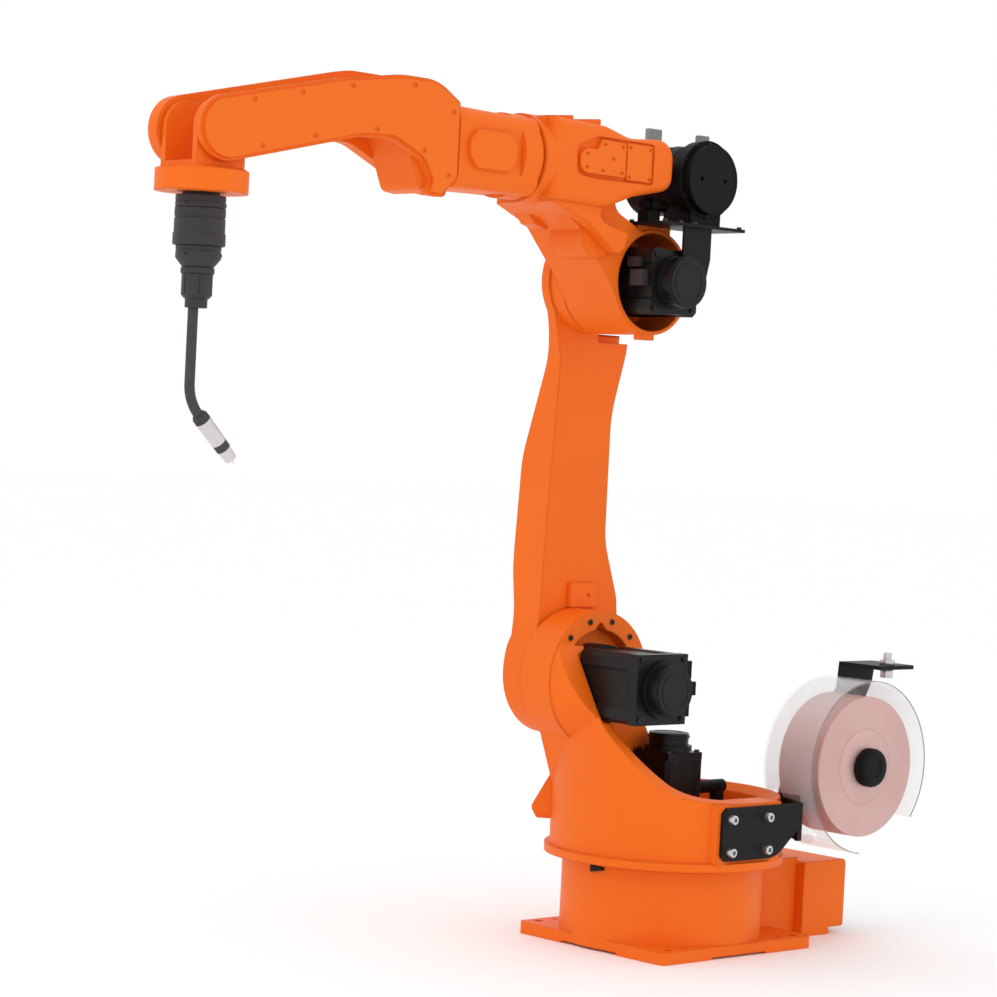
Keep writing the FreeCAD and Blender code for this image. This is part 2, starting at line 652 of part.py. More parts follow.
# ---- elbow: turns on J3, carries the J3 motor, the J4 drive and the wire feeder ------------
def elbow_casting():
    near, far = S.housing_near, S.elbow_far
    housing = rod("j3_housing", "y", (J3_X, far, J3_Z), S.housing_radius, near - far)
    stem = slab("elbow_stem", "y", [rounded([
        (J3_X + 74, J3_Z - 72, 30), (J3_X + 114, J3_Z - 6, 90), (J3_X + 205, J3_Z + 95, 60),
        (J3_X + 282, J3_Z + 128), (J3_X + 282, J4_Z - 20), (J3_X + 100, J4_Z - 20),
        (J3_X + 120, J3_Z + 132, 30), (J3_X + 30, J3_Z + 92), (J3_X - 40, J3_Z + 85),
        (J3_X - 60, J3_Z + 40), (J3_X, J3_Z - 60)])], far, near)
    web = slab("elbow_web", "y", [rounded([
        (J3_X + 114, J3_Z + 34, 20), (J3_X + 206, J3_Z + 98, 60), (J3_X + 300, J3_Z + 128),
        (J3_X + 300, J4_Z), (J3_X + 95, J4_Z), (J3_X + 95, J4_Z - 50),
        (J3_X + 170, J4_Z - 76, 6), (J3_X + 176, J4_Z - 92, 6), (J3_X + 160, J4_Z - 108, 20),
        (J3_X + 100, J4_Z - 121)])], -S.elbow_half, S.elbow_half - 14)
    barrel = rod("j4_barrel", "x", (J3_X + 150, 0, J4_Z), S.tube_radius,
                 S.elbow_front - J3_X - 150)
    head = slab("elbow_head", "y", [rounded([
        (J3_X - 3, J4_Z - 32, 30), (J3_X - 3, J4_Z + 63, 36), (J3_X + 112, J4_Z + 55, 100),
        (J3_X + 176, J4_Z + 72, 60), (J3_X + 310, J4_Z + 77), (J3_X + 310, J4_Z - 74),
        (J3_X + 168, J4_Z - 79, 50), (J3_X + 95, J4_Z - 52, 60)])], -S.elbow_half, S.elbow_half)
    head = soften(head, 16, lambda edge: lies_at(edge, "y", S.elbow_half)
                  or lies_at(edge, "y", -S.elbow_half))
    ribs = []
    for name, start in (("rib_front", 246), ("rib_back", 175)):
        ribs.append(slab(name, "y", [rounded([
            (J3_X + start, J4_Z + 50), (J3_X + start, J4_Z + 85, 3),
            (J3_X + start + 69, J4_Z + 78), (J3_X + start + 69, J4_Z + 50)])],
            -S.elbow_half + 24, S.elbow_half - 26))
    boss = rod("elbow_boss", "y", (J3_X + 157, far + 60, J3_Z + 74), 40, near - far - 56)
    lug = slab("elbow_lug", "y", [rounded([
        (J3_X + 200, J3_Z + 86), (J3_X + 232, J3_Z + 94, 5), (J3_X + 247, J3_Z + 110, 5),
        (J3_X + 247, J3_Z + 130), (J3_X + 200, J3_Z + 130)])], -88, -50)
    foot = block("housing_foot", (J3_X - 12, near - 24, J3_Z - S.housing_radius - 10),
                 (J3_X + 20, near - 2, J3_Z - S.housing_radius + 10))
    shelf_pad = block("shelf_pad", (J3_X - 44, near - 30, J3_Z + S.housing_radius - 24),
                      (J3_X + 44, near - 4, J4_Z - S.shelf_drop - S.shelf_thick))
    body = fuse("elbow_body", housing, stem, web, barrel, head, boss, lug, foot, shelf_pad, *ribs)
    bore = rod("j3_bore", "y", (J3_X, S.elbow_far + 44, J3_Z), S.housing_bore, near - far)
    panel = slab("hatch_room", "y", [rounded([
        (J3_X + 56, J4_Z - 28, 6), (J3_X + 56, J4_Z + 48, 6), (J3_X + 204, J4_Z + 49, 20),
        (J3_X + 256, J4_Z + 28, 20), (J3_X + 256, J4_Z - 24, 20), (J3_X + 200, J4_Z - 28, 10)])],
        S.elbow_half - 6, S.elbow_half + 20)
    land = rod("j4_land_room", "x", (S.elbow_front - S.sweep_gap, 0, J4_Z), S.tube_radius + 20, 30)
    spindle = rod("j4_land", "x", (S.elbow_front - 60, 0, J4_Z), S.tube_radius - 20,
                  60 - S.joint_gap)
    shaped = fuse("elbow_shaped", cut("elbow_cut", body, bore, panel, land), spindle)
    keep(shaped, "elbow_casting")


def elbow_hatches():
    face = S.elbow_half - 6
    front = slab("front_hatch", "y", [rounded([
        (J3_X + 134, J4_Z - 21, 5), (J3_X + 134, J4_Z + 42, 5), (J3_X + 196, J4_Z + 45, 6),
        (J3_X + 204, J4_Z + 26, 6), (J3_X + 250, J4_Z + 24, 21), (J3_X + 250, J4_Z - 20, 21)])],
        face, face + 10)
    rear = slab("rear_hatch", "y", [rounded([
        (J3_X + 62, J4_Z - 24, 4), (J3_X + 62, J4_Z + 44, 4), (J3_X + 128, J4_Z + 44, 4),
        (J3_X + 128, J4_Z - 24, 4)])], face, face + 7)
    pair = doc.addObject("Part::Compound", "hatch_pair")
    pair.Links = [front, rear]
    keep(pair, "elbow_hatches")


def j3_motor():
    seat, back, square = S.elbow_far + 44, 95, 126
    body = servo("j3_servo", "y", seat, back, size(square), J3_X, J3_Z)
    keep(common("j3_servo_trim", body, rod("j3_servo_round", "y", (J3_X, seat, J3_Z),
                                           S.housing_bore - 6, size(back) - seat)), "j3_motor")
    low = rod("j3_cap_low", "y", (J3_X, back, J3_Z), 50, 8)
    high = rod("j3_cap_high", "y", (J3_X, back, J3_Z), 47, 39)
    keep(fuse("j3_cap", low, high), "j3_motor_cap")
    plugs = [block("j3_plug_a", (J3_X + square / 2 - 3, 52, J3_Z - 10),
                   (J3_X + square / 2 + 14, 84, J3_Z + 20)),
             block("j3_plug_b", (J3_X + square / 2, 40, J3_Z + 26),
                   (J3_X + square / 2 + 10, 70, J3_Z + 44))]
    both = doc.addObject("Part::Compound", "j3_plugs")
    both.Links = plugs
    keep(both, "j3_motor_plugs")


def wire_feeder():
    plate_top = J4_Z - S.shelf_drop
    plate_low = plate_top - S.shelf_thick
    plate = slab("feeder_shelf", "z", [rounded([
        (J3_X - 168, 6, 8), (J3_X + 56, 6, 8), (J3_X + 56, 118, 8), (J3_X - 168, 118, 8)])],
        plate_low, plate_top)
    keep(plate, "feeder_plate")
    face = 104
    upright = slab("feeder_leg", "y", [rounded([
        (J3_X - 80, plate_low), (J3_X - 80, J3_Z + 48, 8), (J3_X - 62, J3_Z - 27, 4),
        (J3_X - 36, J3_Z - 27), (J3_X - 6, J3_Z + 10), (J3_X - 6, plate_low)])],
        face, size(face) + 5)
    ring = rod("leg_cap_room", "y", (J3_X, face - 1, J3_Z), 51, 8)
    keep(cut("feeder_leg_cut", upright, ring), "feeder_upright")
    drum_x, drum_z, radius = J3_X - 88, J4_Z - 5, 66
    body = rod("feeder_body", "y", (drum_x, -78, drum_z), radius, 138)
    flange = rod("feeder_flange", "y", (drum_x, 60, drum_z), 74, 24)
    saddle = block("feeder_saddle", (drum_x - 40, 10, plate_top), (drum_x + 40, 84, drum_z - 40))
    keep(fuse("feeder_body_all", body, flange, saddle), "feeder_drum")
    disc = rod("feeder_face", "y", (drum_x, 84, drum_z), 66, 16)
    holes = [rod("face_hole_a", "y", (drum_x + 32, 94, drum_z), 4, 8),
             rod("face_hole_b", "y", (drum_x - 32, 94, drum_z), 4, 8)]
    keep(cut("feeder_face_cut", disc, *holes), "feeder_disc")
    tabs = [block("tab_near", (drum_x - 28, 44, drum_z + 52), (drum_x - 2, 56, drum_z + 87)),
            block("tab_far", (drum_x - 16, -72, drum_z + 52), (drum_x + 18, -60, drum_z + 103))]
    both = doc.addObject("Part::Compound", "tab_pair")
    both.Links = tabs
    keep(cut("tabs_cut", both, rod("tab_room", "y", (drum_x, -90, drum_z), radius, 150)),
         "feeder_tabs")
    inlet = rod("inlet_body", "x", (drum_x + 60, 30, plate_top + 34), 11, 58)
    flare = rod("inlet_nut", "x", (drum_x + 92, 30, plate_top + 34), 16, 16)
    post = block("inlet_post", (drum_x + 84, 16, plate_top), (drum_x + 116, 44, plate_top + 24))
    body = fuse("inlet_all", inlet, flare, post)
    keep(cut("inlet_cut", body, rod("inlet_room", "y", (drum_x, -80, drum_z), radius, 150),
             block("inlet_saddle_room", (drum_x - 40, 0, plate_top), (drum_x + 40, 84, drum_z))),
         "feeder_outlet")


# ---- forearm: turns on J4 -------------------------------------------------------------------
def beside_j5(points):
    """Corners given from the J5 axis (forward, up, radius) as places in the model."""
    return [(J5_X + forward, J5_Z + up, radius) for forward, up, radius in points]


def near_side():
    """Side outline of the bent forearm on the near side, with a hook below the bend."""
    end, back = S.fork_end_radius, S.fork_back - J5_X
    return beside_j5([
        (end, end * 0.8, 54.8), (-240, 111, 300), (-372, 131, 200), (-458, 131, 100),
        (back, 97, 6), (back, -38, 25), (-474, -74, 20), (-430, -70, 8), (-450, -50, 12),
        (-428, -12, 40), (-360, 18, 60), (-288, 14.5, 100), (end, -end * 1.28, 54.8)])


def far_side():
    """The far side stands a little higher and reaches back beside the tube."""
    end, back = S.far_end_radius, S.fork_back - J5_X - 90
    return beside_j5([
        (end, end * 0.79, 58.5), (-348, 142, 150), (-452, 141, 80), (-522, 104, 60),
        (back, 88, 10), (back, -60, 12), (-545, -60, 80), (-470, -34, 120),
        (-356, 17, 80), (-288, 11, 100), (end, -end * 1.28, 58.5)])


def drawn_in(points, depth):
    """An anticlockwise outline with every side moved inwards by depth."""
    moved = []
    count = len(points)
    for here, (across, up, radius) in enumerate(points):
        corner = Vector(float(across), float(up), 0)
        before = corner - Vector(*(float(v) for v in points[here - 1][:2]), 0)
        after = Vector(*(float(v) for v in points[(here + 1) % count][:2]), 0) - corner
        before.normalize()
        after.normalize()
        first, second = Vector(-before.y, before.x, 0), Vector(-after.y, after.x, 0)
        corner += (first + second) * (depth / (1 + first.dot(second)))
        bulges = before.cross(after).z > 0
        moved.append((corner.x, corner.y, max(radius - depth if bulges else radius + depth, 2)))
    return moved


def forearm():
    inner, outer = S.fork_inner, S.fork_inner + S.fork_wall
    far_outer = S.fork_inner + S.far_wall
    side, rise, drop = S.tube_half, S.tube_rise, S.tube_drop
    tube = slab("arm_tube", "y", [rounded([
        (S.elbow_front, J4_Z - drop), (S.elbow_front, J4_Z + rise),
        (S.elbow_front + 60, J4_Z + rise, 60), (S.fork_back, J4_Z + rise + 4),
        (S.fork_back, J4_Z - drop - 2), (S.elbow_front + 60, J4_Z - drop, 60)])], -side, side)
    tube = soften(tube, 30, lambda edge: (lies_at(edge, "y", side) or lies_at(edge, "y", -side))
                  and edge.BoundBox.XLength > 20)
    drum = rod("tube_drum", "x", (S.elbow_front, 0, J4_Z), S.tube_radius - 4, 44)
    panel = slab("tube_panel", "y", [rounded([
        (S.elbow_front + 60, J4_Z - 14, 6), (S.elbow_front + 76, J4_Z - 36, 6),
        (S.fork_back - 40, J4_Z - 36, 6), (S.fork_back - 20, J4_Z - 14, 6),
        (S.fork_back - 20, J4_Z + 14, 6), (S.fork_back - 40, J4_Z + 34, 6),
        (S.elbow_front + 76, J4_Z + 34, 6), (S.elbow_front + 60, J4_Z + 14, 6)])],
        side - 8, side + 8)
    keep(fuse("tube_all", tube, drum, panel), "forearm_tube")
    near = slab("near_wall", "y", [rounded(near_side())], inner, outer)
    far = slab("far_wall", "y", [rounded(far_side())], -far_outer, -inner)
    tube_room = block("far_wall_tube_room", (S.elbow_front, -side, J4_Z - 200),
                      (S.fork_back, 0, J4_Z + 200))
    heart = slab("fork_heart", "y", [rounded([
        (S.fork_back, J5_Z + 90), (S.fork_back, J4_Z - 60, 20), (S.fork_back + 40, J4_Z - 88, 20),
        (S.fork_back + 76, J4_Z - 84, 16), (S.fork_back + 120, J4_Z + 20, 60),
        (S.fork_back + 288, J4_Z + 66, 8), (S.fork_back + 288, J5_Z + 104),
        (J5_X - 372, J5_Z + 126, 200), (J5_X - 458, J5_Z + 125, 60)])], -inner, inner)
    hub_reach = S.fork_inner - S.wrist_half - S.joint_gap + 1
    hubs = [rod("near_hub", "y", (J5_X, S.wrist_half + S.joint_gap, J5_Z), 34, hub_reach),
            rod("far_hub", "y", (J5_X, -S.fork_inner - 1, J5_Z), 34, hub_reach)]
    far_trimmed = cut("far_wall_cut", far, tube_room)
    keep(fuse("fork_all", near, far_trimmed, heart, *hubs), "forearm_casting")
    rim = S.cover_inset.value
    keep(slab("near_lid", "y", [rounded(drawn_in(near_side(), rim))], outer,
              outer + S.cover_thick), "near_cover")
    keep(slab("far_lid", "y", [rounded(drawn_in(far_side(), rim))],
              -far_outer - S.cover_thick, -far_outer), "far_cover")


# ---- wrist: turns on J5 ------------------------------------------------------------------------
def wrist_casting():
    half = S.wrist_half
    neck_z = J5_Z - 64
    arch = slab("wrist_arch", "y", [rounded([
        (J5_X - half, neck_z), (J5_X - half, J5_Z + half, half * 0.98),
        (J5_X + half, J5_Z + half, half * 0.98), (J5_X + half, neck_z)])], -half, half)
    window = slab("wrist_window", "y", [rounded([
        (J5_X - half - 1, neck_z + 8), (J5_X - half - 1, J5_Z + half + 1),
        (J5_X + half + 1, J5_Z + half + 1), (J5_X + half + 1, neck_z + 8)])], -half + 13, half - 13)
    ears = cut("wrist_ears", arch, window)
    # The square neck flares to the round J6 collar.
    collar_high = 37
    corners = [Vector(half.value * a, half.value * b, neck_z.value)
               for a, b in ((-1, -1), (1, -1), (1, 1), (-1, 1), (-1, -1))]
    radius, level = S.collar_radius.value, (J5_Z - S.flange_drop + collar_high).value

    def on_collar(degrees):
        turn = math.radians(degrees)
        return Vector(radius * math.cos(turn), radius * math.sin(turn), level)

    circle = Part.Wire([Part.Arc(on_collar(a), on_collar(a + 45), on_collar(a + 90)).toShape()
                        for a in (-135, -45, 45, 135)])
    flare = doc.addObject("Part::Feature", "wrist_flare")
    flare.Shape = Part.makeLoft([Part.makePolygon(corners), circle], True, True)
    flare.Placement = Placement(Vector(J5_X.value, 0, 0), Rotation())
    collar = rod("wrist_collar", "z", (J5_X, 0, J5_Z - S.flange_drop), S.collar_radius, collar_high)
    keep(fuse("wrist_all", ears, flare, collar), "wrist_casting")


# ---- torch: turns on J6 ------------------------------------------------------------------------
def torch():
    face = J5_Z - S.flange_drop
    # (label, list of (drop below the tool face at the start, at the end, radius, end radius))
    stack = (
        ("torch_mount", ((S.joint_gap, size(5), 31.5, None), (size(5), size(26), 42.5, None))),
        ("torch_socket", ((size(26), size(68), 43, None), (size(68), size(89), 44.5, None))),
        ("torch_body", ((size(89), size(111), 38.5, None), (size(111), size(125), 26.5, 38.5),
                        (size(125), size(136), 28.5, None))),
        ("torch_nut", ((size(136), size(172), 26.5, None), (size(172), size(178), 20, 26.5),
                       (size(178), size(193), 19, None))),
    )
    for label, steps in stack:
        pieces = []
        for number, (start, stop, radius, wide) in enumerate(steps):
            name = f"{label}_{number}"
            base = (J5_X, 0, face - stop)
            if wide is None:
                pieces.append(rod(name, "z", base, radius, stop - start))
            else:
                pieces.append(rod(name, "z", base, radius, stop - start, wide))
        keep(fuse(label + "_all", *pieces), label)
    swan_neck(face)


def along(start, direction, radius, low, high, name, end_radius=None):
    """A cylinder, or a cone, on a slanted line, from low to high along it."""
    made = doc.addObject("Part::Cylinder" if end_radius is None else "Part::Cone", name)
    if end_radius is None:
        made.Radius = radius
    else:
        made.Radius1 = radius
        made.Radius2 = end_radius
    made.Height = high - low
    made.Placement = Placement(start + direction * low, Rotation(Vector(0, 0, 1), direction))
    return made


def swan_neck(face):
    """The bent tube: straight down, then turned 45 degrees back to the nozzle."""
    radius, bend_radius = S.torch_tube_radius.value, S.neck_bend.value
    straight, turn = 127, math.radians(45)
    top = Vector((J5_X + S.neck_shift).value, 0, face.value - 193)
    low = top - Vector(0, 0, straight)
    centre = low - Vector(bend_radius, 0, 0)
    half_way = centre + Vector(math.cos(turn / 2), 0, -math.sin(turn / 2)) * bend_radius
    bent = centre + Vector(math.cos(turn), 0, -math.sin(turn)) * bend_radius
    direction = Vector(-math.sin(turn), 0, -math.cos(turn))
    path = Part.Wire([Part.LineSegment(top, low).toShape(), Part.Arc(low, half_way, bent).toShape()])
    ring = Part.Wire(Part.Circle(top, Vector(0, 0, 1), radius).toShape())
    tube = doc.addObject("Part::Feature", "neck_tube")
    tube.Shape = path.makePipeShell([ring], True, False)
    keep(tube, "torch_tube")
    back, sleeve, band, nozzle, wire = 14, 64, 79, 103, 114
    keep(along(bent, direction, 14.2, 0, back, "neck_back"), "neck_collar")
    keep(along(bent, direction, 14.8, back, sleeve, "sleeve_rod", 13.4), "nozzle_sleeve")
    keep(along(bent, direction, 13, sleeve, band, "band_rod"), "nozzle_band")
    shell = along(bent, direction, 12.6, band, nozzle, "nozzle_shell", 10.7)
    room = along(bent, direction, 8.5, band + 2, nozzle + 5, "nozzle_room")
    keep(cut("nozzle_cut", shell, room), "gas_nozzle")
    tip = along(bent, direction, 3.4, band + 2, nozzle - 3, "tip_rod")
    keep(fuse("tip_and_wire", tip, along(bent, direction, 0.8, nozzle - 4, wire, "wire_rod")),
         "contact_tip")


base_casting()
base_cable_box()
zero_mark()
turret_casting()
j1_motor()
j2_motor()
spool_carrier()
wire_spool()
lower_arm()
elbow_casting()
elbow_hatches()
j3_motor()
wire_feeder()
forearm()
wrist_casting()
torch()
doc.recompute()

faults = [item.Name for item in doc.Objects if "Invalid" in item.State or "Error" in item.State]
for made in sub_parts:
    if made.Shape.isNull() or not made.Shape.isValid() or not made.Shape.Solids:
        faults.append(made.Label)
if faults:
    raise SystemExit("not built: " + ", ".join(faults))
os.makedirs("parts", exist_ok=True)
for made in sub_parts:
    made.Shape.exportStep(f"parts/{made.Label}.step")
    print(f"{made.Label}: {len(made.Shape.Solids)} solid(s), {made.Shape.Volume / 1000:.0f} cm3")
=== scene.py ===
import math

import bmesh
import bpy
from mathutils import Matrix, Vector


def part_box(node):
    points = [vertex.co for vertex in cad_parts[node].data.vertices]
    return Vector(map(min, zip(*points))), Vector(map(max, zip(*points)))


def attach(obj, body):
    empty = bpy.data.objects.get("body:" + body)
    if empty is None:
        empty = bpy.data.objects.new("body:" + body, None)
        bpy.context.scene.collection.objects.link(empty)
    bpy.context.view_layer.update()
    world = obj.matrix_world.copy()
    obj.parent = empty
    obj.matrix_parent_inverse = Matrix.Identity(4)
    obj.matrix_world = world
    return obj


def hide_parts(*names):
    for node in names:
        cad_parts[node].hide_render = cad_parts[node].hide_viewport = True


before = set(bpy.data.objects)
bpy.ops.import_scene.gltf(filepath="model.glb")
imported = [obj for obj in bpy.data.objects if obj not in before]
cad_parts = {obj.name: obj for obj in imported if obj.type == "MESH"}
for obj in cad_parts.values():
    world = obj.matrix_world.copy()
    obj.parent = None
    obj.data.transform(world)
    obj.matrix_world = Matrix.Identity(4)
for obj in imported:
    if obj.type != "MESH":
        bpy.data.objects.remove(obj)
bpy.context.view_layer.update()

# ---- Castings: base, turret, lower arm, elbow, forearm and wrist ---------------------------
# Ductile iron and aluminium castings, machined at the joints and powder coated orange all over.
# The coat is even and semi-gloss, with a fine orange-peel surface and rounded cast edges.


class Reading:
    """A number that changes over a surface; the operators on it add Math nodes."""

    def __init__(self, finish, socket):
        self.finish = finish
        self.socket = socket

    def worked(self, operation, first, second):
        return self.finish.add("ShaderNodeMath", {"operation": operation}, {0: first, 1: second})

    def __add__(self, other):
        return self.worked("ADD", self, other)

    def __radd__(self, other):
        return self.worked("ADD", other, self)

    def __sub__(self, other):
        return self.worked("SUBTRACT", self, other)

    def __rsub__(self, other):
        return self.worked("SUBTRACT", other, self)

    def __mul__(self, other):
        return self.worked("MULTIPLY", self, other)

    def __rmul__(self, other):
        return self.worked("MULTIPLY", other, self)

    def held(self):
        """Kept between 0 and 1."""
        return self.finish.add("ShaderNodeClamp", {}, {"Value": self})


class Finish:
    """One surface finish: a material with its shader, whose constant sockets are set at once."""

    def __init__(self, name, **constants):
        self.material = bpy.data.materials.new(name)
        self.material.use_nodes = True
        self.tree = self.material.node_tree
        self.shader = self.tree.nodes["Principled BSDF"]
        for socket, value in constants.items():
            self.shader.inputs[socket.replace("_", " ")].default_value = value

    def add(self, kind, settings, sockets, output=0):
        """A node of a type, its settings, then the values or links of its sockets."""
        node = self.tree.nodes.new(kind)
        for name, value in settings.items():
            setattr(node, name, value)
        for name, value in sockets.items():
            if isinstance(value, Reading):
                self.tree.links.new(value.socket, node.inputs[name])
            else:
                node.inputs[name].default_value = value
        return Reading(self, node.outputs[output])

    def feed(self, **readings):
        """Link what changes over the surface to the shader."""
        for name, reading in readings.items():
            self.tree.links.new(reading.socket, self.shader.inputs[name.replace("_", " ")])

    def place(self):
        return self.add("ShaderNodeTexCoord", {}, {}, "Object")

    def noise(self, scale, detail=2.0, rough=0.5):
        return self.add("ShaderNodeTexNoise", {}, {
            "Vector": self.place(), "Scale": scale, "Detail": detail, "Roughness": rough})

    def blend(self, factor, first, second):
        """A colour between two colours."""
        return self.add("ShaderNodeMix", {"data_type": "RGBA"},
                        {0: factor, 6: first, 7: second}, 2)

    def soft_edge(self, radius):
        """The normal of the surface with its sharp edges rounded."""
        return self.add("ShaderNodeBevel", {"samples": 4}, {"Radius": radius})

    def bump(self, height, strength, distance, normal=None):
        sockets = {"Height": height, "Strength": strength, "Distance": distance}
        if normal:
            sockets["Normal"] = normal
        return self.add("ShaderNodeBump", {}, sockets)


def dress(finish, *names):
    """Give CAD nodes a finish."""
    for name in names:
        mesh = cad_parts[name].data
        mesh.materials.clear()
        mesh.materials.append(finish.material)


def powder_coat(name, colour, deep, edge_radius):
    """Sprayed and baked paint: faint clouds of a deeper shade, orange peel and a little dust."""
    coat = Finish(name, IOR=1.45, Specular_IOR_Level=0.2)
    cloud = coat.noise(5.0, detail=3.0)
    peel = coat.noise(420.0)
    dust = coat.noise(38.0, detail=4.0, rough=0.7)
    rounded = coat.soft_edge(edge_radius)
    coat.feed(Base_Color=coat.blend((cloud * 1.6 - 0.3).held(), deep, colour),
              Roughness=0.42 + dust * 0.10,
              Normal=coat.bump(peel, strength=0.10, distance=0.0006, normal=rounded))
    return coat


orange = powder_coat("orange_powder_coat", colour=(0.88, 0.158, 0.008, 1),
                     deep=(0.84, 0.140, 0.006, 1), edge_radius=0.005)
dress(orange, "base_casting", "base_cable_box", "turret_casting", "lower_arm_casting", "arm_block",
      "elbow_casting", "forearm_tube", "forearm_casting", "wrist_casting")

# ---- Covers on the forearm and the elbow ------------------------------------------------------
# Thin aluminium lids over the drive belts, in a fresher coat of the same orange.
# Small socket screws hold them down, painted over in the castings' coat.
cover_coat = powder_coat("cover_powder_coat", colour=(0.86, 0.158, 0.010, 1),
                         deep=(0.84, 0.150, 0.008, 1), edge_radius=0.002)
dress(cover_coat, "near_cover", "far_cover", "elbow_hatches")


def piece(name, form, finish, body, flat_angle=32):
    """A bmesh made into a finished piece that rides on a body."""
    bmesh.ops.remove_doubles(form, verts=form.verts, dist=2e-6)
    bmesh.ops.recalc_face_normals(form, faces=form.faces)
    mesh = bpy.data.meshes.new(name)
    form.to_mesh(mesh)
    form.free()
    mesh.materials.append(finish.material)
    mesh.shade_smooth()
    mesh.set_sharp_from_angle(angle=math.radians(flat_angle))
    made = bpy.data.objects.new(name, mesh)
    bpy.context.scene.collection.objects.link(made)
    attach(made, body)
    return made


def standing(centre, along):
    """The transform that stands a shape made round +Z on a centre, pointing along a direction."""
    turn = Vector((0, 0, 1)).rotation_difference(Vector(along))
    return Matrix.Translation(Vector(centre)) @ turn.to_matrix().to_4x4()


def screw_head(form, centre, along, radius, height):
    """A socket screw's head: a short cylinder with a rounded rim and a round socket."""
    rounding = radius * 0.16
    land = radius * 0.34
    socket_taper = radius * 0.02
    socket_depth = height * 0.55
    drum = bmesh.ops.create_cone(form, cap_ends=True, segments=18, radius1=radius,
                                 radius2=radius, depth=height)["verts"]
    bmesh.ops.translate(form, verts=drum, vec=(0, 0, height / 2))
    lid = [face for face in {f for v in drum for f in v.link_faces}
           if min(v.co.z for v in face.verts) > height * 0.99][0]
    rim = bmesh.ops.bevel(form, geom=list(lid.edges), offset=rounding, segments=2, profile=0.5,
                          affect="EDGES", material=-1)["verts"]
    head = {v for v in drum if v.is_valid} | set(rim)
    top = max((f for v in head for f in v.link_faces),
              key=lambda f: f.calc_center_median().z * 1000 + len(f.verts))
    bmesh.ops.inset_region(form, faces=[top], thickness=land, depth=0)
    socket = bmesh.ops.inset_region(form, faces=[top], thickness=socket_taper,
                                    depth=-socket_depth)["faces"]
    head = {v for v in head if v.is_valid} | {v for f in socket + [top] for v in f.verts}
    head |= {near for v in head for edge in v.link_edges for near in edge.verts}
    bmesh.ops.transform(form, matrix=standing(centre, along), verts=list(head))


cover_screws = ((1.143, 1.515), (1.042, 1.538), (0.933, 1.561), (0.793, 1.577), (1.122, 1.439),
                (1.010, 1.467), (0.875, 1.492), (0.765, 1.466), (0.706, 1.428), (0.700, 1.540))
let_in = 0.002

# The far side's screws sit a little higher than the near side's, and its rear ones higher still.
far_lift = 0.006
rear_lift = 0.004
rear_end = 0.8

near_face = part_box("near_cover")[1].y
far_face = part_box("far_cover")[0].y
for side, cover_face, out in (("near", near_face, 1), ("far", far_face, -1)):
    screws = bmesh.new()
    for x, z in cover_screws:
        if side == "far" and x < rear_end:
            z += rear_lift
        if side == "far":
            z += far_lift
        screw_head(screws, (x, cover_face - out * let_in, z), (0, out, 0),
                   radius=0.0046, height=0.0035)
    piece(side + "_cover_screws", screws, orange, "forearm")

front_hatch = ((0.290, 1.470), (0.290, 1.518), (0.336, 1.519), (0.340, 1.470), (0.381, 1.474),
               (0.381, 1.498), (0.314, 1.494))
rear_hatch = ((0.215, 1.465), (0.215, 1.520), (0.268, 1.520), (0.268, 1.465))
hatch_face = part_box("elbow_hatches")[1].y
hatch_screws = bmesh.new()
for hatch, below_face in ((front_hatch, 0.001), (rear_hatch, 0.004)):
    for x, z in hatch:
        screw_head(hatch_screws, (x, hatch_face - below_face, z), (0, 1, 0),
                   radius=0.0032, height=0.0028)
piece("elbow_hatch_screws", hatch_screws, orange, "elbow")

# ---- J2 ring: the bolts round the shoulder ------------------------------------------------------
# The turret's machined ring holds the gearbox with blackened socket screws on a circle of twelve,
# of which the cast brow hides three. Seven more clamp the lower half of the arm's hub, behind it.
dark_steel = Finish("blackened_steel", Metallic=0.9, IOR=1.5)
dark_steel.feed(Base_Color=dark_steel.blend(dark_steel.noise(60.0), (0.03, 0.028, 0.027, 1),
                                            (0.07, 0.066, 0.062, 1)),
                Roughness=0.36 + dark_steel.noise(200.0) * 0.15)


def bolt_circle(form, centre, circle, turns, along, radius, height):
    """Screw heads at some turns, in degrees, on a circle in an upright plane."""
    x, y, z = centre
    for degrees in turns:
        turn = math.radians(degrees)
        spot = (x + circle * math.cos(turn), y, z + circle * math.sin(turn))
        screw_head(form, spot, along, radius, height)


j2_x, j2_z = 0.147, 0.512
ring_face = -0.056
hub_face = -0.1985
ring_bolts = bmesh.new()
bolt_circle(ring_bolts, (j2_x, ring_face, j2_z), circle=0.1135, turns=range(45, 300, 30),
            along=(0, 1, 0), radius=0.0058, height=0.0036)
piece("shoulder_ring_bolts", ring_bolts, dark_steel, "turret")

hub_far_bolts = bmesh.new()
bolt_circle(hub_far_bolts, (j2_x, hub_face, j2_z), circle=0.088, turns=range(180, 361, 30),
            along=(0, -1, 0), radius=0.0058, height=0.005)
piece("hub_bolts", hub_far_bolts, dark_steel, "lower_arm")

# ---- Servo motors ---------------------------------------------------------------------------
# Square aluminium servo motors, gloss black, with a round encoder cap on the back and a
# blackened socket screw at each corner. The elbow motor's cap has short cooling ribs round it.
motor_black = Finish("motor_black", IOR=1.5, Specular_IOR_Level=0.22)
smear = motor_black.noise(24.0, detail=4.0, rough=0.6)
motor_black.feed(
    Base_Color=motor_black.blend(smear, (0.004, 0.004, 0.0043, 1), (0.009, 0.0088, 0.009, 1)),
    Roughness=0.26 + smear * 0.22,
    Normal=motor_black.bump(motor_black.noise(700.0), strength=0.06, distance=0.0004,
                            normal=motor_black.soft_edge(0.0015)))
dress(motor_black, "j1_motor", "j1_motor_cap", "j2_motor", "j2_motor_cap", "j3_motor",
      "j3_motor_cap")

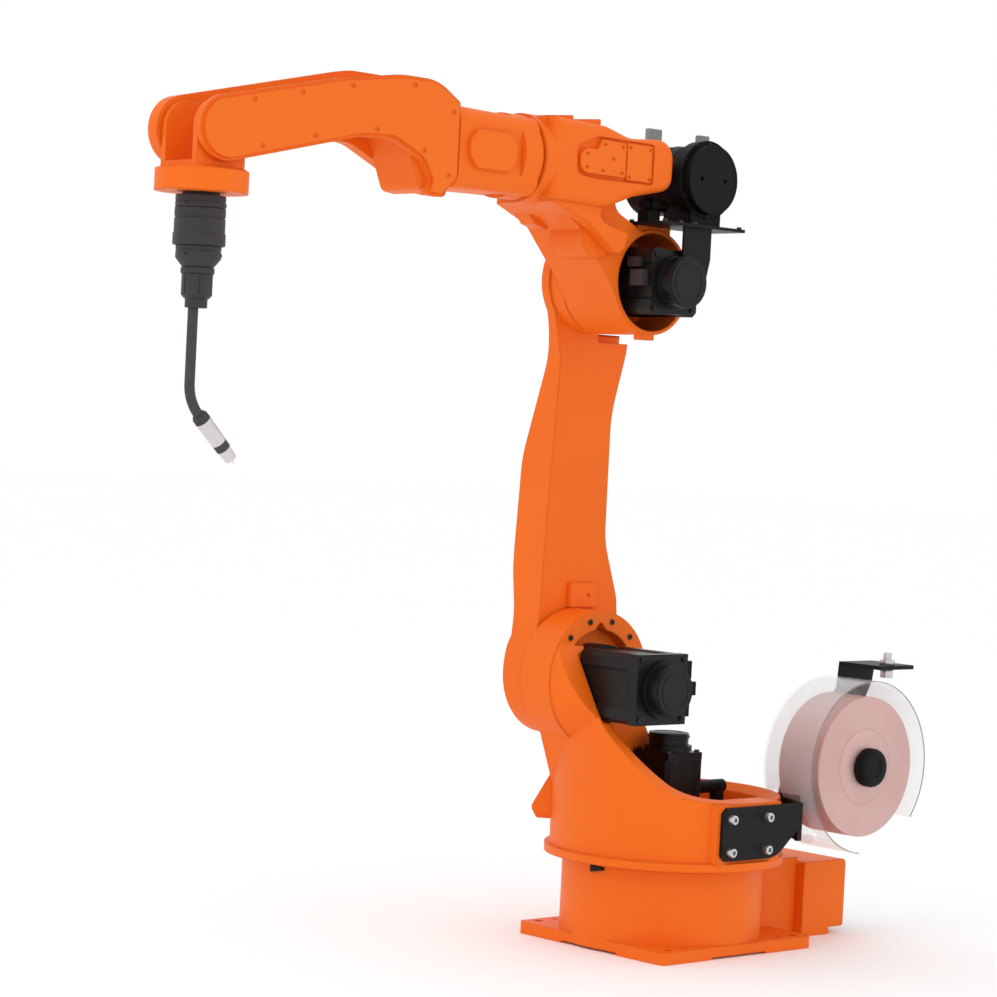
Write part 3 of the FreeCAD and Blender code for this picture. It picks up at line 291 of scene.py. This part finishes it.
bright_steel = Finish("zinc_screw", Metallic=1.0, IOR=1.5)
bright_steel.feed(Base_Color=bright_steel.blend(bright_steel.noise(90.0), (0.50, 0.50, 0.51, 1),
                                                (0.68, 0.67, 0.66, 1)),
                  Roughness=0.24 + bright_steel.noise(300.0) * 0.16)


def turned(form, profile, centre, along, steps=64, arc=2 * math.pi, start=0.0):
    """A lathe shape: (radius, height) pairs spun round +Z, then stood on its centre."""
    verts = [form.verts.new((radius * math.cos(start), radius * math.sin(start), height))
             for radius, height in profile]
    edges = [form.edges.new(pair) for pair in zip(verts, verts[1:])]
    whole = abs(arc - 2 * math.pi) < 1e-6
    before = set(form.verts)
    bmesh.ops.spin(form, geom=verts + edges, axis=(0, 0, 1), cent=(0, 0, 0), angle=arc,
                   steps=steps, use_merge=whole, use_duplicate=False)
    made = verts + [v for v in form.verts if v not in before]
    made = [v for v in made if v.is_valid]
    if not whole:
        bmesh.ops.holes_fill(form, edges=[e for e in form.edges if e.is_boundary], sides=0)
    bmesh.ops.transform(form, matrix=standing(centre, along), verts=made)


def motor_trim(name, body, centre, along, half, cap_radius, cap_height):
    """A screw at each corner of one motor, and a seam ring and a lid ring on its cap."""
    corner = 0.84
    across = Vector((1, 0, 0))
    up = Vector(along).cross(across)
    trim = bmesh.new()
    for a in (-1, 1):
        for b in (-1, 1):
            spot = Vector(centre) + across * a * half * corner + up * b * half * corner
            screw_head(trim, spot, along, radius=0.0052, height=0.0045)
    piece(name + "_corner_screws", trim, dark_steel, body)

    skin = cap_radius + 0.0002
    proud = cap_radius + 0.0022
    buried = cap_radius - 0.001
    seam_low = cap_height - 0.010
    seam_high = cap_height - 0.004
    rings = bmesh.new()
    turned(rings, ((skin, seam_low), (proud, cap_height - 0.009), (proud, cap_height - 0.005),
                   (skin, seam_high), (buried, seam_high), (buried, seam_low), (skin, seam_low)),
           centre, along)
    lid_outer = cap_radius - 0.010
    lid_inner = cap_radius - 0.013
    lid_low = cap_height - 0.0005
    lid_high = cap_height + 0.0008
    turned(rings, ((lid_outer, lid_low), (lid_outer, lid_high), (lid_inner, lid_high),
                   (lid_inner, lid_low), (lid_outer, lid_low)), centre, along)
    piece(name + "_cap_rings", rings, motor_black, body)


j1_top = 0.374
j3_z = 1.277
motor_trim("j1_motor", "turret", (0, 0, j1_top), (0, 0, 1),
           half=0.047, cap_radius=0.039, cap_height=0.036)
motor_trim("j2_motor", "turret", (j2_x, 0.117, j2_z - 0.0045), (0, 1, 0),
           half=0.067, cap_radius=0.046, cap_height=0.036)
motor_trim("j3_motor", "elbow", (j2_x, 0.095, j3_z), (0, 1, 0),
           half=0.060, cap_radius=0.047, cap_height=0.039)

rib_count = 30
rib_circle = 0.0468
rib_middle = Vector((j2_x, 0.1225, j3_z))
cap_vents = bmesh.new()
for step in range(rib_count):
    turn = math.radians(360 // rib_count * step)
    outward = Vector((math.cos(turn), 0, math.sin(turn)))
    rib = bmesh.ops.create_cone(cap_vents, cap_ends=True, segments=4, radius1=0.0021,
                                radius2=0.0014, depth=0.011)["verts"]
    bmesh.ops.transform(cap_vents, verts=rib,
                        matrix=standing(rib_middle + outward * rib_circle, (0, 1, 0)))
piece("j3_motor_vent_ribs", cap_vents, motor_black, "elbow")

# Three small bright screws stand on top of the swivel motor.
marks = bmesh.new()
for x, y in ((0.030, 0.034), (0.036, -0.020), (-0.020, 0.040)):
    screw_head(marks, (x, y, 0.3739), (0, 0, 1), radius=0.0032, height=0.0022)
piece("j1_motor_white_dots", marks, bright_steel, "turret")

# ---- Connectors, cable box plate and zero mark -------------------------------------------------
# Moulded connectors in matte black and dark grey plastic are pushed on to the motors and into a
# black painted steel plate, which four zinc screws hold to the back of the cable box. The zero
# mark at the swivel wears the same paint.
black_plastic = Finish("black_moulding", IOR=1.46, Specular_IOR_Level=0.14)
grain = black_plastic.noise(900.0)
black_plastic.feed(
    Base_Color=black_plastic.blend(black_plastic.noise(14.0, detail=3.0),
                                   (0.0032, 0.0032, 0.0034, 1), (0.0060, 0.0058, 0.0060, 1)),
    Roughness=0.42 + grain * 0.16,
    Normal=black_plastic.bump(grain, strength=0.12, distance=0.0004,
                              normal=black_plastic.soft_edge(0.0012)))
dress(black_plastic, "j1_motor_plug", "rear_connectors", "j2_motor_plugs")

dark_grey = Finish("dark_grey_moulding", IOR=1.46)
pale = dark_grey.noise(300.0)
dark_grey.feed(Base_Color=dark_grey.blend(pale, (0.018, 0.017, 0.018, 1), (0.034, 0.031, 0.032, 1)),
               Roughness=0.42 + pale * 0.12)
dress(dark_grey, "j3_motor_plugs")

plate_black = Finish("black_plate", IOR=1.5, Specular_IOR_Level=0.14)
mottle = plate_black.noise(120.0, detail=3.0)
plate_black.feed(
    Base_Color=plate_black.blend(mottle, (0.0055, 0.0055, 0.006, 1), (0.011, 0.0105, 0.0105, 1)),
    Roughness=0.38 + mottle * 0.14,
    Normal=plate_black.bump(plate_black.noise(800.0), strength=0.10, distance=0.0004,
                            normal=plate_black.soft_edge(0.0012)))
dress(plate_black, "zero_mark", "connector_plate")

box_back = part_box("connector_plate")[0].x
screw_half = 0.072
plate_screws = bmesh.new()
for y in (-screw_half, screw_half):
    for z in (0.040, 0.122):
        screw_head(plate_screws, (box_back, y, z), (-1, 0, 0), radius=0.0045, height=0.0035)
piece("connector_plate_screws", plate_screws, bright_steel, "base")

# ---- Spool carrier: bracket, gland, shaft and hub cap ------------------------------------------
# A bent steel plate, painted black, held to the turret by four zinc socket screws. Its raised
# tab has a plated cable gland for the wire, and a fluted moulded cap keeps the spool on its shaft.
dress(plate_black, "spool_bracket")
dress(black_plastic, "spool_shaft")

bracket_near = 0.231
bolts = bmesh.new()
for x in (-0.038, 0.062):
    for z in (0.210, 0.272):
        screw_head(bolts, (x, bracket_near, z), (0, 1, 0), radius=0.0088, height=0.0139)
bolt_heads = piece("bracket_socket_screws", bolts, bright_steel, "turret")
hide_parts("bracket_bolts")


def hexagon(form, centre, radius, height):
    """A hexagon nut or bar standing on a centre, with its edges taken off."""
    made = bmesh.ops.create_cone(form, cap_ends=True, segments=6, radius1=radius, radius2=radius,
                                 depth=height)["verts"]
    bmesh.ops.translate(form, verts=made, vec=Vector(centre) + Vector((0, 0, height / 2)))
    edges = list(dict.fromkeys(e for v in made for e in v.link_edges))
    bmesh.ops.bevel(form, geom=edges, offset=0.0008, segments=2, profile=0.5, affect="EDGES",
                    material=-1)


gland_low, gland_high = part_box("wire_gland")
gland_x = (gland_low.x + gland_high.x) / 2
gland_y = (gland_low.y + gland_high.y) / 2
tab_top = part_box("spool_bracket")[1].z
nut_height = 0.0095
gland = bmesh.new()
hexagon(gland, (gland_x, gland_y, tab_top), radius=0.0165, height=nut_height)
hexagon(gland, (gland_x, gland_y, gland_low.z), radius=0.0138, height=0.016)
turned(gland, ((0.0026, 0.0), (0.0086, 0.0), (0.0088, 0.008), (0.0078, 0.014), (0.0026, 0.0145),
               (0.0026, 0.0)), (gland_x, gland_y, tab_top + nut_height), (0, 0, 1), steps=32)
piece("wire_gland_body", gland, bright_steel, "turret")
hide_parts("wire_gland")

spool_x, spool_z = -0.310, 0.357
cap_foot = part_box("spool_hub_cap")[0].y
hub = bmesh.new()
turned(hub, ((0.0, 0.0), (0.036, 0.0), (0.037, 0.002), (0.037, 0.019), (0.0355, 0.0225),
             (0.032, 0.024), (0.020, 0.024), (0.0185, 0.0225), (0.006, 0.0225), (0.0, 0.0225)),
       (spool_x, cap_foot, spool_z), (0, 1, 0), steps=72)

# Every third facet of the cap's tall outer wall is sunk for grip.
wall_radius = 0.0355
wall_area = 2e-5
grip = [f for f in hub.faces
        if math.hypot(f.calc_center_median().x - spool_x,
                      f.calc_center_median().z - spool_z) > wall_radius
        and f.calc_area() > wall_area]
grip.sort(key=lambda f: math.atan2(f.calc_center_median().z - spool_z,
                                   f.calc_center_median().x - spool_x))
bmesh.ops.inset_individual(hub, faces=grip[::3], thickness=0.0003, depth=-0.0010)
piece("spool_hub_cap_grip", hub, black_plastic, "turret")
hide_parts("spool_hub_cap")

# ---- Wire spool -------------------------------------------------------------------------------
# Copper-coated welding wire, layer wound into a ring and pressed on to the shaft. The wire's
# turns show as fine grooves round the ring, and its layers as fine rings on both faces.
copper = Finish("copper_coated_wire", Metallic=0.35, IOR=1.5)
strand = copper.noise(320.0)
copper.feed(Base_Color=copper.blend((copper.noise(9.0, detail=3.0) * 1.4 - 0.2).held(),
                                    (0.60, 0.37, 0.34, 1), (0.68, 0.45, 0.42, 1)),
            Roughness=0.38 + strand * 0.12)

coil_low, coil_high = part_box("wire_spool")
width = coil_high.y - coil_low.y
outside = 0.1378
bore = 0.026
core = 0.076
pitch = 0.0026
turn_groove = 0.0007
layer = 0.0042
layer_groove = 0.0008
margin = 0.002
shoulder = outside - 0.0012
shoulder_drop = 0.0004
seam_outer = 0.074
seam_inner = 0.072
seam_depth = 0.0018
turn_count = int((width - 2 * margin) / pitch)
layer_count = int((outside - core) / layer)

wound_profile = [(bore, 0.0)]
for ring in range(layer_count + 1):
    inner = core + ring * layer
    wound_profile += [(inner, layer_groove), (inner + layer * 0.5, 0.0)]
wound_profile.append((shoulder, shoulder_drop))
for turn in range(turn_count + 1):
    height = margin + turn * pitch
    wound_profile += [(outside - turn_groove, height), (outside, height + pitch * 0.5)]
wound_profile.append((shoulder, width - shoulder_drop))
for ring in range(layer_count, -1, -1):
    inner = core + ring * layer
    wound_profile += [(inner + layer * 0.5, width), (inner, width - layer_groove)]
wound_profile += [(seam_outer, width - seam_depth), (seam_inner, width), (bore, width),
                  (bore, 0.0)]

wound = bmesh.new()
turned(wound, wound_profile, (spool_x, coil_low.y, spool_z), (0, 1, 0), steps=112)
coil = piece("wound_wire", wound, copper, "spool", 60)
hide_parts("wire_spool")

# ---- Clear guard ------------------------------------------------------------------------------
# A drum of clear polycarbonate round the spool, open at the lower rear where the wire is
# threaded. Its near cut edge is a thin opaque grey ring, painted shade for the dark look of a clear
# sheet's edge.
clear = Finish("clear_polycarbonate", IOR=1.5, Base_Color=(0.86, 0.88, 0.90, 1))
# Painted sheen: the sheet turns whiter and less clear where it runs edge-on to the camera, standing
# for its grazing reflections.
grazing_sheen = clear.add("ShaderNodeLayerWeight", {}, {"Blend": 0.35}, "Facing")
haze = clear.noise(30.0)
clear.feed(Roughness=0.05 + haze * 0.06, Alpha=(0.10 + grazing_sheen * 0.30).held())
dress(clear, "spool_guard")

# Painted shade: an opaque grey ring on the near rim stands for the dark look of the sheet's cut
# edge.
painted_edge_shade = Finish("guard_painted_edge_shade", IOR=1.45)
painted_edge_shade.feed(Base_Color=painted_edge_shade.blend(painted_edge_shade.noise(80.0), (0.10, 0.105, 0.11, 1),
                                        (0.22, 0.225, 0.23, 1)),
              Roughness=0.3 + painted_edge_shade.noise(200.0) * 0.1)

guard_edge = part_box("spool_guard")[1].y - 0.0006
rim_inner = 0.1684
rim_outer = 0.1698
rim_low = -0.0006
rim_high = 0.0008
guard_rim = bmesh.new()
turned(guard_rim, ((rim_inner, rim_low), (rim_outer, rim_low), (rim_outer, rim_high),
                   (rim_inner, rim_high), (rim_inner, rim_low)),
       (spool_x, guard_edge, spool_z), (0, 1, 0),
       steps=96, arc=math.radians(302), start=math.radians(142))
piece("guard_rim", guard_rim, painted_edge_shade, "turret")

# ---- Wire feeder ------------------------------------------------------------------------------
# A moulded black drive unit on a painted steel shelf over the elbow: its motor drum, a flanged
# face with two finger holes, grey clamp tabs on top and the wire inlet in front. Cap screws hold
# the flange and the shelf.
dress(black_plastic, "feeder_drum", "feeder_disc", "feeder_outlet")
dress(plate_black, "feeder_plate", "feeder_upright")

grey_plastic = Finish("grey_moulding", IOR=1.46)
fleck = grey_plastic.noise(500.0)
grey_plastic.feed(
    Base_Color=grey_plastic.blend(fleck, (0.20, 0.20, 0.205, 1), (0.27, 0.265, 0.27, 1)),
    Roughness=0.40 + fleck * 0.12,
    Normal=grey_plastic.bump(fleck, strength=0.08, distance=0.0003,
                             normal=grey_plastic.soft_edge(0.001)))
dress(grey_plastic, "feeder_tabs")

disc_low, disc_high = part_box("feeder_disc")
drum_x = (disc_low.x + disc_high.x) / 2
drum_z = (disc_low.z + disc_high.z) / 2
flange_y = 0.0838
feeder_rings = bmesh.new()
for y, size in ((0.0995, 0.0625), (flange_y, 0.0742), (0.040, 0.0662), (0.010, 0.0662)):
    turned(feeder_rings, ((size - 0.001, -0.001), (size + 0.0004, -0.0006),
                          (size + 0.0008, 0.0003), (size, 0.0010), (size - 0.0014, 0.0010),
                          (size - 0.001, -0.001)), (drum_x, y, drum_z), (0, 1, 0), steps=80)
piece("feeder_drum_rings", feeder_rings, black_plastic, "elbow")

feeder_screws = bmesh.new()
bolt_circle(feeder_screws, (drum_x, flange_y, drum_z), circle=0.0690, turns=range(30, 360, 60),
            along=(0, 1, 0), radius=0.0030, height=0.0028)
shelf_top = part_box("feeder_plate")[1].z
for x in (-0.012, 0.112, 0.150, 0.192):
    for y in (0.018, 0.106):
        screw_head(feeder_screws, (x, y, shelf_top - 0.0005), (0, 0, 1),
                   radius=0.0048, height=0.0052)
piece("feeder_screws", feeder_screws, dark_steel, "elbow")

# ---- Torch body ---------------------------------------------------------------------------------
# The torch hangs from the wrist flange in four moulded black parts, screwed together: a mounting
# ring, a collision-shock socket, the body and a fluted union nut. Set screws pin ring and body.
torch_plastic = Finish("torch_moulding", IOR=1.46, Specular_IOR_Level=0.35)
stipple = torch_plastic.noise(700.0)
torch_plastic.feed(
    Base_Color=torch_plastic.blend(torch_plastic.noise(18.0, detail=3.0),
                                   (0.026, 0.025, 0.0255, 1), (0.042, 0.040, 0.041, 1)),
    Roughness=0.46 + stipple * 0.14,
    Normal=torch_plastic.bump(stipple, strength=0.10, distance=0.0004))

torch_x = 1.193
tool_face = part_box("torch_mount")[1].z


def hanging(name, rings, cad_node, fluted=None):
    """A lathe shape below the tool face, given as (radius, drop) pairs from the top down.

    Between the two drops in fluted, every twelfth facet of the outer wall is sunk.
    """
    form = bmesh.new()
    turned(form, [(radius, -drop) for radius, drop in rings], (torch_x, 0, tool_face), (0, 0, 1),
           steps=72)
    if fluted:
        first_drop, last_drop = fluted
        least_radius = 0.0255
        every = 12
        walls = [f for f in form.faces
                 if -last_drop < f.calc_center_median().z - tool_face < -first_drop
                 and math.hypot(f.calc_center_median().x - torch_x,
                                f.calc_center_median().y) > least_radius]
        walls.sort(key=lambda f: math.atan2(f.calc_center_median().y,
                                            f.calc_center_median().x - torch_x))
        bmesh.ops.inset_individual(form, faces=walls[::every], thickness=0.0004, depth=-0.0011)
    made = piece(name, form, torch_plastic, "torch")
    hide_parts(cad_node)


hanging("torch_mount_ring", (
    (0.0, 0.0), (0.0315, 0.0), (0.0315, 0.0047), (0.0415, 0.0047), (0.0425, 0.0057),
    (0.0425, 0.0140), (0.0418, 0.0147), (0.0418, 0.0160), (0.0425, 0.0167), (0.0425, 0.0248),
    (0.0415, 0.0257), (0.0, 0.0257)), "torch_mount")
hanging("torch_shock_socket", (
    (0.0, 0.0257), (0.0415, 0.0257), (0.0430, 0.0270), (0.0430, 0.0400), (0.0418, 0.0412),
    (0.0418, 0.0428), (0.0430, 0.0440), (0.0430, 0.0660), (0.0436, 0.0680), (0.0445, 0.0690),
    (0.0445, 0.0872), (0.0432, 0.0887), (0.0, 0.0887)), "torch_socket")
hanging("torch_moulded_body", (
    (0.0, 0.0887), (0.0375, 0.0887), (0.0385, 0.0897), (0.0385, 0.0960), (0.0376, 0.0968),
    (0.0376, 0.0982), (0.0385, 0.0990), (0.0385, 0.1095), (0.0375, 0.1112), (0.0272, 0.1240),
    (0.0265, 0.1250), (0.0275, 0.1258), (0.0285, 0.1266), (0.0285, 0.1345), (0.0275, 0.1357),
    (0.0, 0.1357)), "torch_body")
hanging("torch_union_nut", (
    (0.0, 0.1357), (0.0255, 0.1357), (0.0265, 0.1367), (0.0265, 0.1395), (0.0262, 0.1400),
    (0.0262, 0.1690), (0.0265, 0.1695), (0.0262, 0.1717), (0.0205, 0.1777), (0.0190, 0.1782),
    (0.0190, 0.1917), (0.0180, 0.1927), (0.0, 0.1927)), "torch_nut",
    fluted=(0.141, 0.168))

set_screws = bmesh.new()
for degrees in (20, 140, 260):
    turn = math.radians(degrees)
    outward = Vector((math.cos(turn), math.sin(turn), 0))
    screw_head(set_screws, Vector((torch_x, 0, tool_face - 0.020)) + outward * 0.0412, outward,
               radius=0.0034, height=0.0022)
    screw_head(set_screws, Vector((torch_x, 0, tool_face - 0.104)) + outward * 0.0376, outward,
               radius=0.0028, height=0.0020)
piece("torch_set_screws", set_screws, dark_steel, "torch")

# ---- Torch neck and nozzle ----------------------------------------------------------------------
# A bent tube under a black insulating cover, then a stepped black collar, a nickel-plated sleeve,
# a black band and the nickel-plated gas nozzle, pushed on in turn, with the copper tip inside.
rubber = Finish("insulating_cover", IOR=1.45)
rub = rubber.noise(600.0, detail=3.0)
rubber.feed(Base_Color=rubber.blend(rubber.noise(30.0), (0.030, 0.032, 0.033, 1),
                                    (0.048, 0.050, 0.051, 1)),
            Roughness=0.55 + rub * 0.15, Normal=rubber.bump(rub, strength=0.15, distance=0.0004))
dress(rubber, "torch_tube", "nozzle_band")

nickel = Finish("nickel_plate", Metallic=0.75, IOR=1.6)
sheen = nickel.noise(45.0, detail=3.0)
nickel.feed(Base_Color=nickel.blend(sheen, (0.58, 0.555, 0.56, 1), (0.70, 0.675, 0.68, 1)),
            Roughness=0.22 + sheen * 0.12)
dress(nickel, "nozzle_sleeve", "gas_nozzle")

copper_tip = Finish("copper_tip", Metallic=1.0, IOR=1.5)
copper_tip.feed(Base_Color=copper_tip.blend(copper_tip.noise(60.0), (0.85, 0.42, 0.26, 1),
                                            (0.93, 0.55, 0.38, 1)),
                Roughness=0.25 + copper_tip.noise(200.0) * 0.1)
dress(copper_tip, "contact_tip")

neck_x = 1.1985
mount_gap = 0.0003
neck_top = tool_face + mount_gap - 0.193
straight = 0.127
bend_radius = 0.072
bend_turn = math.pi / 4
bend_end = Vector((neck_x - bend_radius * (1 - math.cos(bend_turn)), 0,
                   neck_top - straight - bend_radius * math.sin(bend_turn)))
aim = Vector((-1, 0, -1)).normalized()
backing = bmesh.new()
turned(backing, ((0.0, 0.0), (0.0095, 0.0), (0.0118, 0.0008), (0.0118, 0.0030), (0.0136, 0.0040),
                 (0.0142, 0.0052), (0.0142, 0.0068), (0.0132, 0.0074), (0.0132, 0.0088),
                 (0.0142, 0.0096), (0.0142, 0.0134), (0.0136, 0.0140), (0.0, 0.0140)),
       bend_end, aim, steps=48)
collar = piece("neck_backing_collar", backing, rubber, "torch")
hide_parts("neck_collar")

# ---- Floor, light and camera -------------------------------------------------------------------
# A plain pale floor under an even white sky, with two large weak panels for shape. A long lens
# looks in from the front on the near side, a little above the middle of the robot.
floor_finish = Finish("pale_floor", Roughness=0.9)
floor_finish.feed(Base_Color=floor_finish.blend(floor_finish.noise(3.0), (0.985, 0.985, 0.985, 1),
                                                (1.0, 1.0, 1.0, 1)))
ground = bmesh.new()
bmesh.ops.create_grid(ground, x_segments=8, y_segments=8, size=30.0)
floor_mesh = bpy.data.meshes.new("studio_floor")
ground.to_mesh(floor_mesh)
ground.free()
floor_mesh.materials.append(floor_finish.material)
floor = bpy.data.objects.new("studio_floor", floor_mesh)
bpy.context.scene.collection.objects.link(floor)

world = bpy.data.worlds.new("studio")
world.use_nodes = True
sky = world.node_tree.nodes["Background"]
sky.inputs["Color"].default_value = (1.0, 1.0, 1.0, 1)
sky.inputs["Strength"].default_value = 1.0
bpy.context.scene.world = world
bpy.context.scene.view_settings.view_transform = "Standard"


def panel(name, place, target, size, power):
    """A square light panel that faces a target."""
    light = bpy.data.lights.new(name, "AREA")
    light.shape = "SQUARE"
    light.size = size
    light.energy = power
    lamp = bpy.data.objects.new(name, light)
    bpy.context.scene.collection.objects.link(lamp)
    lamp.location = place
    lamp.rotation_euler = (Vector(target) - Vector(place)).to_track_quat("-Z", "Y").to_euler()


panel("key_panel", (4.6, 0.6, 4.4), target=(0.3, 0, 0.9), size=3.0, power=30)
panel("fill_panel", (-1.5, 5.0, 3.2), target=(0, 0, 0.8), size=3.5, power=10)

camera_data = bpy.data.cameras.new("front_camera")
camera_data.lens = 107.43
camera_data.sensor_width = 36.0
camera = bpy.data.objects.new("front_camera", camera_data)
bpy.context.scene.collection.objects.link(camera)
camera_place = (4.18885, 4.02060, 0.99677)
to_right = Vector((-0.73525515, 0.67596669, 0.049688))
to_top = Vector((0.01926167, -0.05244069, 0.99843826))
to_back = to_right.cross(to_top)
facing = Matrix((to_right, to_top, to_back)).transposed()
camera.matrix_world = Matrix.Translation(camera_place) @ facing.to_4x4()
bpy.context.scene.camera = camera
